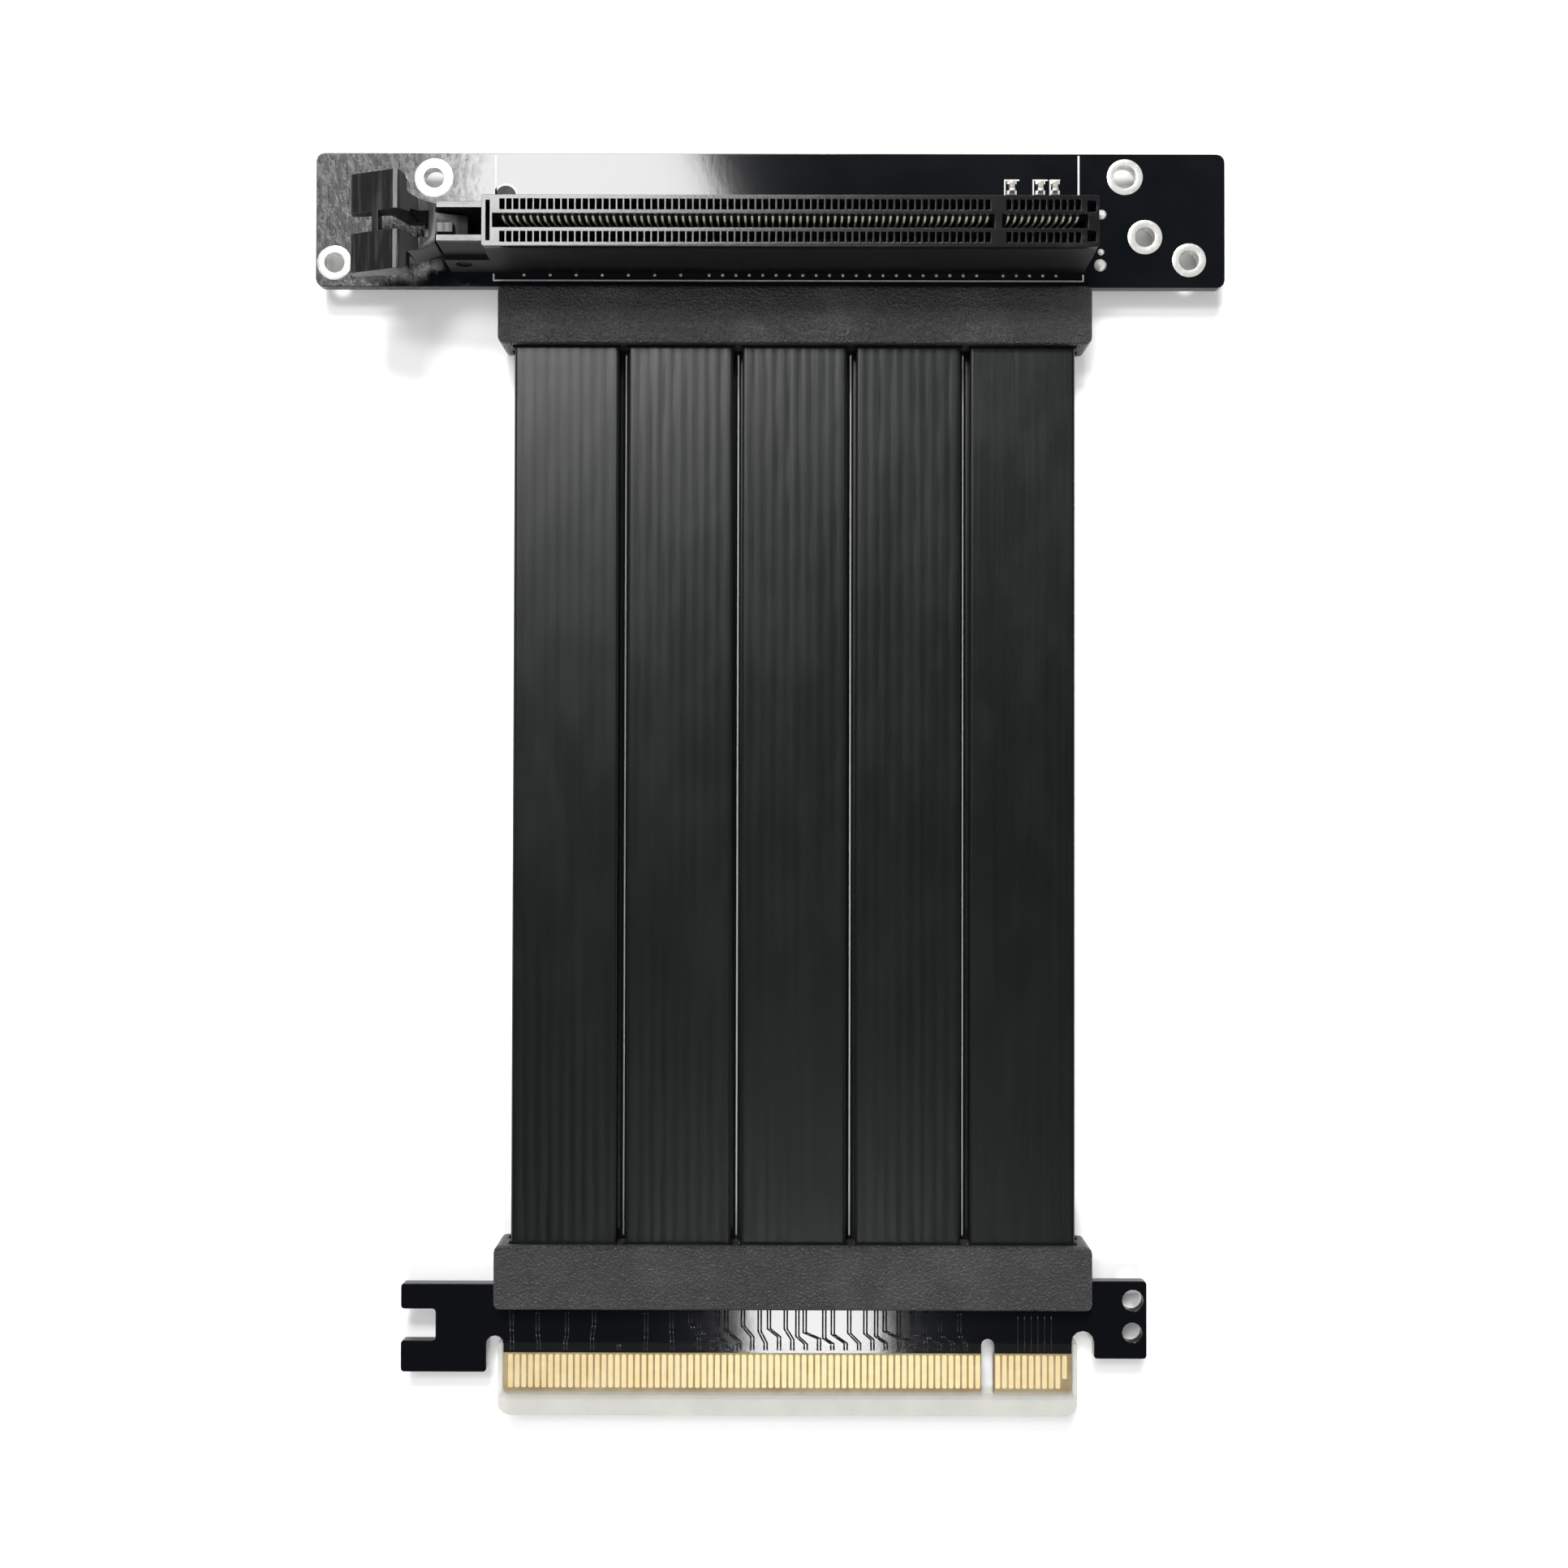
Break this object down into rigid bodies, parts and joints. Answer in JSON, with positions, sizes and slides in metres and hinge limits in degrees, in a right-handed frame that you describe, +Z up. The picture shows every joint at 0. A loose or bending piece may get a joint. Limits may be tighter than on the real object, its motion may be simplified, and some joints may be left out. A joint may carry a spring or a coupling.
{
  "type": "gpu riser cable",
  "caption": "Flat ribbon riser that joins a graphics card to a main board: edge plug, paired ribbons, moulded boots and a card slot with a latch.",
  "frame": {"origin": "middle of the object's box, on the surface that the boots rest on", "axes": "+Y along the ribbons from the plug to the card slot, +Z up out of the card slot, +X towards the short end of the slot"},
  "size_m": [0.1374, 0.1896, 0.0162],
  "materials": {
    "board_mask": "glossy solder mask",
    "slot_plastic": "satin moulded",
    "lever_plastic": "satin moulded",
    "boot_rubber": "leather grain",
    "ribbon_jacket": "satin",
    "contact_gold": "plated",
    "tinned_copper": "tinned",
    "cover_film": "frosted clear",
    "chip_body": "satin"
  },
  "bodies": {
    "root": {"slot_board": "board_mask", "plug_board": "board_mask", "slot_housing": "slot_plastic", "slot_boot": "boot_rubber", "plug_boot": "boot_rubber", "finger_cover": "cover_film", "mount_ring_left_rear": "tinned_copper", "mount_ring_left_front": "tinned_copper", "mount_ring_right_rear": "tinned_copper", "mount_ring_right_middle": "tinned_copper", "mount_ring_right_front": "tinned_copper", "contacts_rear_long": "contact_gold", "contacts_front_long": "contact_gold", "contacts_rear_short": "contact_gold", "contacts_front_short": "contact_gold", "fingers_top_long": "contact_gold", "fingers_bottom_long": "contact_gold", "fingers_top_short": "contact_gold", "fingers_bottom_short": "contact_gold", "ribbon_upper_1": "ribbon_jacket", "ribbon_upper_2": "ribbon_jacket", "ribbon_upper_3": "ribbon_jacket", "ribbon_upper_4": "ribbon_jacket", "ribbon_upper_5": "ribbon_jacket", "ribbon_lower_1": "ribbon_jacket", "ribbon_lower_2": "ribbon_jacket", "ribbon_lower_3": "ribbon_jacket", "ribbon_lower_4": "ribbon_jacket", "ribbon_lower_5": "ribbon_jacket", "chip_part_1": "chip_body", "chip_part_2": "chip_body", "chip_part_3": "chip_body"},
    "latch": {"slot_latch": "lever_plastic"}
  },
  "joints": [
    {"name": "latch_pivot", "type": "hinge", "parent": "root", "child": "latch", "pos_m": [-0.0455, 0.0804, 0.0077], "axis": [0, -1, 0], "range_deg": [0, 22]}
  ]
}
